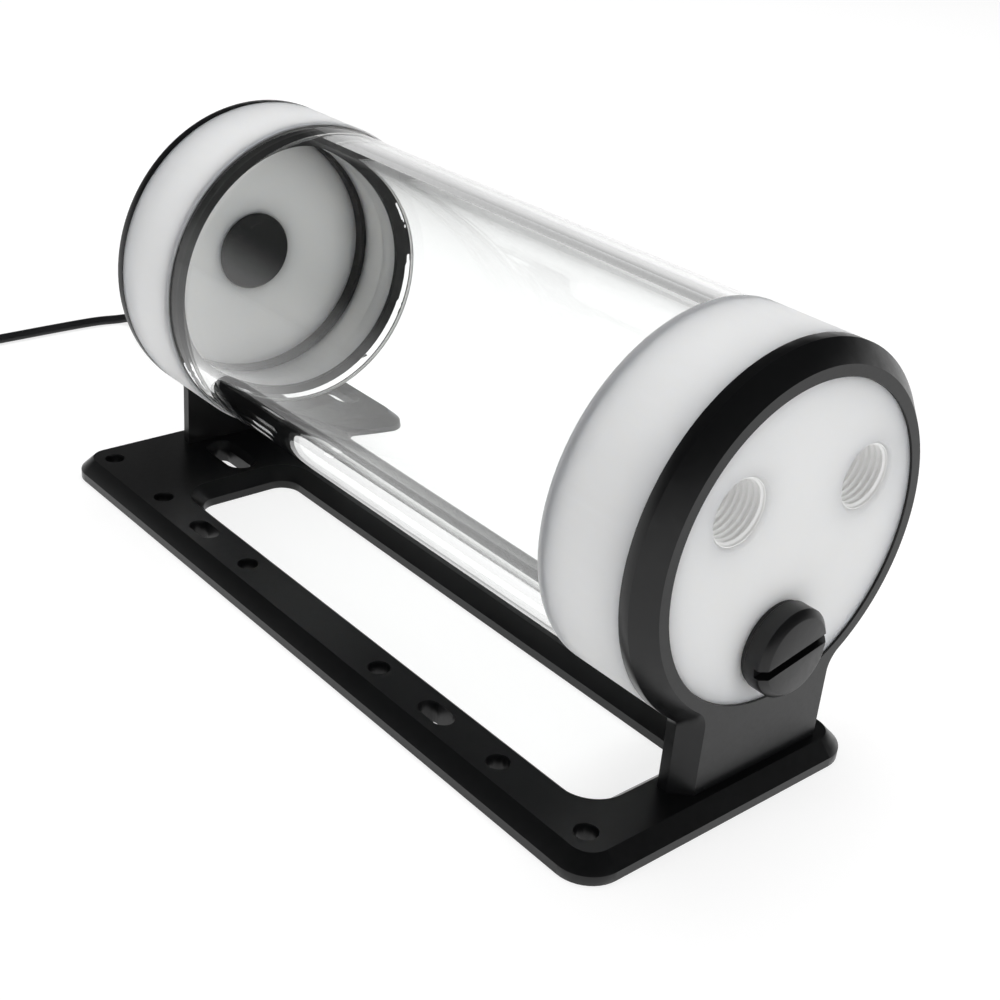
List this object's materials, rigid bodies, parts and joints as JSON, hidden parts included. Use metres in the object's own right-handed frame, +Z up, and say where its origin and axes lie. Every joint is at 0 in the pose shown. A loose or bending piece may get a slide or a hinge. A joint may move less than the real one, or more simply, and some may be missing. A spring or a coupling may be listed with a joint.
{
  "type": "coolant reservoir",
  "caption": "Glass tube coolant reservoir on a slotted black base plate, with white end caps, threaded ports, a slotted port plug and a lamp with a lead.",
  "frame": {"origin": "on the underside of the base plate, under the tube's axis, half-way between the two uprights", "axes": "+X along the tube towards the end with the ports, +Z up, and -Y towards the mounting bar of the base plate"},
  "size_m": [0.337, 0.1192, 0.0915],
  "materials": {
    "anodised_black": "satin black anodised",
    "black_steel": "black oxide",
    "clear_glass": "clear and polished",
    "seal_rubber": "matte black",
    "white_acetal": "fine turned, satin white",
    "black_acetal": "satin black",
    "smoked_lens": "smoked and smooth",
    "diode_resin": "milky clear",
    "cable_rubber": "smooth black",
    "contact_brass": "plated"
  },
  "bodies": {
    "reservoir": {"base_plate": "anodised_black", "front_upright": "anodised_black", "rear_upright": "anodised_black", "front_upright_screws": "black_steel", "rear_upright_screws": "black_steel", "glass_tube": "clear_glass", "front_tube_gasket": "seal_rubber", "rear_tube_gasket": "seal_rubber", "front_collar": "white_acetal", "rear_collar": "white_acetal", "front_plate_seal": "seal_rubber", "rear_plate_seal": "seal_rubber", "front_end_plate": "white_acetal", "rear_end_plate": "white_acetal", "lamp_body": "black_acetal", "lamp_lens": "smoked_lens", "lamp_diode": "diode_resin", "lamp_seal": "seal_rubber", "lamp_nut": "black_acetal", "lead_strain_relief": "cable_rubber", "lamp_lead": "cable_rubber", "lead_coil": "cable_rubber", "lead_tie": "black_acetal", "lead_tail": "cable_rubber", "lead_connector": "black_acetal", "connector_contacts": "contact_brass"},
    "plug_travel": {"port_plug_seal": "seal_rubber"},
    "plug": {"port_plug": "black_acetal"}
  },
  "joints": [
    {"name": "plug_travel", "type": "slide", "parent": "reservoir", "child": "plug_travel", "axis": [1, 0, 0], "range_m": [0, 0.00604]},
    {"name": "plug_turn", "type": "hinge", "parent": "plug_travel", "child": "plug", "pos_m": [0.08749, -0.00122, 0.03304], "axis": [1, 0, 0], "range_deg": [0, 1620]}
  ],
  "couplings": [
    {"joint": "plug_travel", "follows": "plug_turn", "m_per_rad": 0.00021279}
  ]
}
